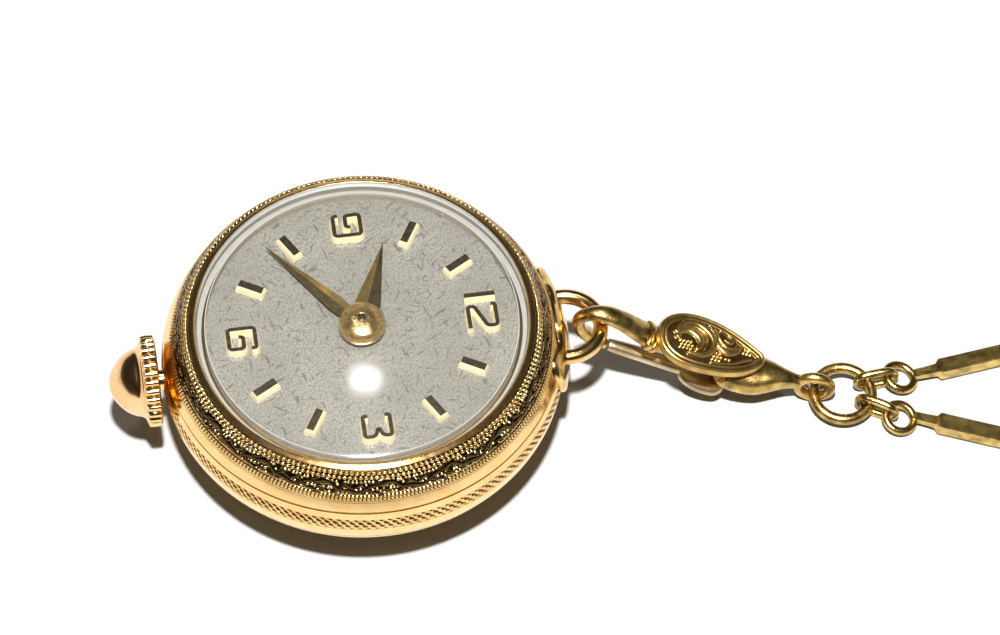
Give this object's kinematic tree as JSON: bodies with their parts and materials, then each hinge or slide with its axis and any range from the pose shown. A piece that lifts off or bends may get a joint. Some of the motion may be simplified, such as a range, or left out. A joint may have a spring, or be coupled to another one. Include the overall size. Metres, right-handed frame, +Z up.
{
  "type": "fob watch",
  "caption": "Open-face fob watch in a polished gold-coloured case with an engraved bezel, hand-wound movement, scrolled clasp and a long bar-link neck chain lying mostly in a coil.",
  "frame": {"origin": "centre of the case back's flat resting face", "axes": "+Z up out of the dial as the watch lies on its back; +X from the watch's centre toward the bow, its twelve o'clock; +Y toward nine o'clock"},
  "size_m": [0.0931, 0.0339, 0.0123],
  "materials": {
    "case_gold": "mirror-polished gold-coloured case metal",
    "chain_gold": "worn gold-coloured plating",
    "hand_gold": "polished",
    "crystal": "clear acrylic, finely scratched",
    "dial": "silver-grey, satin",
    "plate": "satin nickel-plated brass",
    "wheel_brass": "satin brass",
    "steel": "polished steel",
    "jewel": "polished synthetic ruby",
    "tie": "thin woven tie"
  },
  "bodies": {
    "case": {"case_back": "case_gold", "case_middle": "case_gold", "bezel": "case_gold", "crystal": "crystal", "crown_tube": "case_gold", "bow": "case_gold", "casing_ring": "plate", "dial": "dial", "main_plate": "plate", "barrel_bridge": "plate", "train_bridge": "plate", "pallet_bridge": "plate", "balance_cock": "plate", "escape_jewel_lower": "jewel", "escape_jewel_upper": "jewel", "balance_jewel_lower": "jewel", "balance_jewel_upper": "jewel", "barrel_bridge_screw_a": "steel", "barrel_bridge_screw_b": "steel", "train_bridge_screw": "steel", "balance_cock_screw": "steel", "hairspring": "steel", "click_spring": "steel"},
    "hands": {"cannon_pinion": "wheel_brass", "minute_hand": "hand_gold"},
    "hour": {"hour_wheel": "wheel_brass", "hour_hand": "hand_gold"},
    "minute_work": {"minute_wheel": "wheel_brass"},
    "setting_work": {"setting_wheel": "wheel_brass"},
    "barrel": {"mainspring_barrel": "wheel_brass", "mainspring": "steel"},
    "ratchet": {"barrel_arbor": "steel", "ratchet_wheel": "steel"},
    "crown_work": {"crown_wheel": "steel"},
    "click": {"click": "steel"},
    "centre": {"centre_wheel": "wheel_brass"},
    "third": {"third_wheel": "wheel_brass"},
    "fourth": {"fourth_wheel": "wheel_brass"},
    "escape": {"escape_wheel": "steel"},
    "pallets": {"pallet_fork": "steel"},
    "balance": {"balance_wheel": "wheel_brass"},
    "winding": {"winding_pinion": "steel"},
    "stem": {"winding_stem": "steel", "crown": "case_gold"},
    "sliding": {"sliding_pinion": "steel"},
    "lever": {"setting_lever": "steel"},
    "clasp": {"clasp_body": "chain_gold", "clasp_plate": "chain_gold", "clasp_pin": "steel", "clasp_spring": "steel"},
    "gate": {"clasp_gate": "chain_gold"},
    "chain": {"jump_ring": "chain_gold", "end_link_a": "chain_gold", "round_link_a": "chain_gold", "end_link_b": "chain_gold", "round_link_b": "chain_gold", "chain_strand_a": "chain_gold", "chain_strand_b": "chain_gold", "chain_coil": "chain_gold", "coil_tie": "tie"}
  },
  "joints": [
    {"name": "hand_setting", "type": "hinge", "parent": "case", "child": "hands", "pos_m": [0, 0, 0.0095], "axis": [0, 0, 1], "continuous": true},
    {"name": "hour_turn", "type": "hinge", "parent": "case", "child": "hour", "pos_m": [0, 0, 0.0092], "axis": [0, 0, 1], "continuous": true},
    {"name": "minute_wheel_turn", "type": "hinge", "parent": "case", "child": "minute_work", "pos_m": [-0.0024, 0, 0.0082], "axis": [0, 0, 1], "continuous": true},
    {"name": "setting_wheel_turn", "type": "hinge", "parent": "case", "child": "setting_work", "pos_m": [-0.005, 0, 0.008], "axis": [0, 0, 1], "continuous": true},
    {"name": "train_run", "type": "hinge", "parent": "case", "child": "fourth", "pos_m": [0.0039, 0.00278, 0.006], "axis": [0, 0, 1], "continuous": true},
    {"name": "third_turn", "type": "hinge", "parent": "case", "child": "third", "pos_m": [0.00102, 0.00383, 0.006], "axis": [0, 0, 1], "continuous": true},
    {"name": "centre_turn", "type": "hinge", "parent": "case", "child": "centre", "pos_m": [0, 0, 0.006], "axis": [0, 0, 1], "continuous": true},
    {"name": "escape_turn", "type": "hinge", "parent": "case", "child": "escape", "pos_m": [0.00522, 0.00049, 0.006], "axis": [0, 0, 1], "continuous": true},
    {"name": "barrel_turn", "type": "hinge", "parent": "case", "child": "barrel", "pos_m": [-0.00334, -0.00334, 0.006], "axis": [0, 0, 1], "continuous": true},
    {"name": "pallet_swing", "type": "hinge", "parent": "case", "child": "pallets", "pos_m": [0.005, -0.0015, 0.006], "axis": [0, 0, 1], "range_deg": [-3, 3]},
    {"name": "balance_swing", "type": "hinge", "parent": "case", "child": "balance", "pos_m": [0.0046, -0.0042, 0.006], "axis": [0, 0, 1], "range_deg": [-270, 270], "stiffness_Nm_per_rad": 0.0000001},
    {"name": "crown_turn", "type": "hinge", "parent": "case", "child": "winding", "pos_m": [-0.009, 0, 0.0063], "axis": [1, 0, 0], "continuous": true},
    {"name": "crown_wheel_turn", "type": "hinge", "parent": "case", "child": "crown_work", "pos_m": [-0.0069, 0, 0.0048], "axis": [0, 0, 1], "continuous": true},
    {"name": "ratchet_turn", "type": "hinge", "parent": "case", "child": "ratchet", "pos_m": [-0.00334, -0.00334, 0.0048], "axis": [0, 0, 1], "continuous": true},
    {"name": "crown_pull", "type": "slide", "parent": "winding", "child": "stem", "axis": [-1, 0, 0], "range_m": [0, 0.0009]},
    {"name": "clutch_shift", "type": "slide", "parent": "winding", "child": "sliding", "axis": [1, 0, 0], "range_m": [0, 0.00045]},
    {"name": "setting_lever_turn", "type": "hinge", "parent": "case", "child": "lever", "pos_m": [-0.0076, 0.0024, 0.007], "axis": [0, 0, 1], "range_deg": [-25, 0]},
    {"name": "click_swing", "type": "hinge", "parent": "case", "child": "click", "pos_m": [-0.00565, -0.00605, 0.0048], "axis": [0, 0, 1], "range_deg": [0, 9], "stiffness_Nm_per_rad": 0.0002, "springref_deg": -11.46},
    {"name": "clasp_swing", "type": "hinge", "parent": "case", "child": "clasp", "pos_m": [0.0156, -0.00005, 0.007], "axis": [0, 0, 1], "range_deg": [-25, 25]},
    {"name": "gate_open", "type": "hinge", "parent": "clasp", "child": "gate", "pos_m": [0.02425, -0.00211, 0.00209], "axis": [0.2317, 0.9728, 0], "range_deg": [0, 8], "stiffness_Nm_per_rad": 0.002, "springref_deg": -14.32},
    {"name": "chain_swing", "type": "hinge", "parent": "clasp", "child": "chain", "pos_m": [0.02933, -0.00332, 0.00148], "axis": [0, 0, 1], "range_deg": [-20, 20]}
  ],
  "couplings": [
    {"joint": "minute_wheel_turn", "follows": "hand_setting", "ratio": -0.33333},
    {"joint": "hour_turn", "follows": "hand_setting", "ratio": 0.083333},
    {"joint": "setting_wheel_turn", "follows": "hand_setting", "ratio": 0.57143},
    {"joint": "third_turn", "follows": "train_run", "ratio": -0.13333},
    {"joint": "centre_turn", "follows": "train_run", "ratio": 0.016667},
    {"joint": "escape_turn", "follows": "train_run", "ratio": -10},
    {"joint": "barrel_turn", "follows": "train_run", "ratio": -0.0020833},
    {"joint": "crown_wheel_turn", "follows": "crown_turn", "ratio": -0.8},
    {"joint": "ratchet_turn", "follows": "crown_turn", "ratio": 0.44444},
    {"joint": "clutch_shift", "follows": "crown_pull", "ratio": 0.5},
    {"joint": "setting_lever_turn", "follows": "crown_pull", "rad_per_m": -430}
  ]
}
